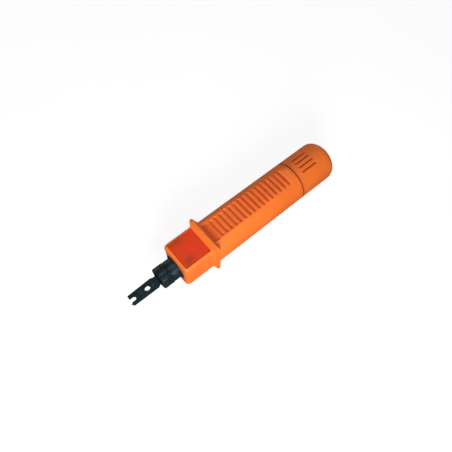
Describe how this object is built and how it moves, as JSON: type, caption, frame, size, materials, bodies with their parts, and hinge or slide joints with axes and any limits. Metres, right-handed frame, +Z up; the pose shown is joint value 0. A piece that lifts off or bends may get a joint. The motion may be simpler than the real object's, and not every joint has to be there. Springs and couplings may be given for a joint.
{
  "type": "punch down tool",
  "caption": "Spring-driven impact punch down tool: moulded ribbed handle, square guard and nose, twist cap, and a forked quarter-turn blade in a sliding holder.",
  "frame": {"origin": "middle of the box around the tool, on the surface that it lies on", "axes": "+X along the tool's axis towards the blade tip, +Z up through the upper finger grooves, +Y to the side with the cutting point"},
  "size_m": [0.1634, 0.0286, 0.0286],
  "materials": {
    "orange_plastic": "satin moulded, fine texture",
    "red_panel": "satin inlay",
    "black_nylon": "matte moulded",
    "black_steel": "black oxide, semi-gloss",
    "blade_steel": "black oxide, oiled",
    "rivet_steel": "black oxide",
    "bright_steel": "turned",
    "hammer_steel": "hardened, dull",
    "spring_steel": "drawn wire",
    "seat_brass": "turned",
    "seal_rubber": "matte"
  },
  "bodies": {
    "handle": {"grip_housing": "orange_plastic", "top_panel": "red_panel", "bottom_panel": "red_panel", "nose_bush": "black_nylon", "stop_ring": "spring_steel", "trip_ring": "bright_steel", "cap_retaining_ring": "spring_steel"},
    "plunger": {"blade_holder": "black_steel", "plunger_rod": "bright_steel", "holder_pin": "bright_steel", "blade_clip": "spring_steel", "return_spring": "spring_steel"},
    "blade": {"blade_body": "blade_steel", "cutter_blade": "blade_steel", "cutter_rivets": "rivet_steel"},
    "hammer": {"hammer": "hammer_steel", "main_spring": "spring_steel", "sear_spring": "spring_steel"},
    "sear": {"sear": "bright_steel"},
    "cap": {"end_cap": "orange_plastic", "cap_core": "black_nylon", "cap_o_ring": "seal_rubber", "adjuster_screw": "bright_steel", "adjuster_nut": "bright_steel"},
    "spring_seat": {"spring_seat": "seat_brass", "seat_washer": "bright_steel"}
  },
  "joints": [
    {"name": "plunger_slide", "type": "slide", "parent": "handle", "child": "plunger", "axis": [-1, 0, 0], "range_m": [0, 0.01], "stiffness_N_per_m": 1800, "springref_m": -0.004},
    {"name": "hammer_slide", "type": "slide", "parent": "handle", "child": "hammer", "axis": [-1, 0, 0], "range_m": [0, 0.01], "deforming": ["main_spring"]},
    {"name": "sear_shift", "type": "slide", "parent": "hammer", "child": "sear", "axis": [0, 0, -1], "range_m": [0, 0.0011], "stiffness_N_per_m": 150, "springref_m": -0.001, "deforming": ["sear_spring"]},
    {"name": "blade_turn", "type": "hinge", "parent": "plunger", "child": "blade", "pos_m": [0.05325, 0, 0.0143], "axis": [1, 0, 0], "range_deg": [0, 90]},
    {"name": "cap_turn", "type": "hinge", "parent": "handle", "child": "cap", "pos_m": [-0.06175, 0, 0.0143], "axis": [1, 0, 0], "range_deg": [0, 180]},
    {"name": "seat_slide", "type": "slide", "parent": "handle", "child": "spring_seat", "axis": [1, 0, 0], "range_m": [0, 0.003]}
  ],
  "couplings": [
    {"joint": "hammer_slide", "follows": "plunger_slide", "ratio": 1},
    {"joint": "seat_slide", "follows": "cap_turn", "m_per_rad": 0.000954}
  ]
}
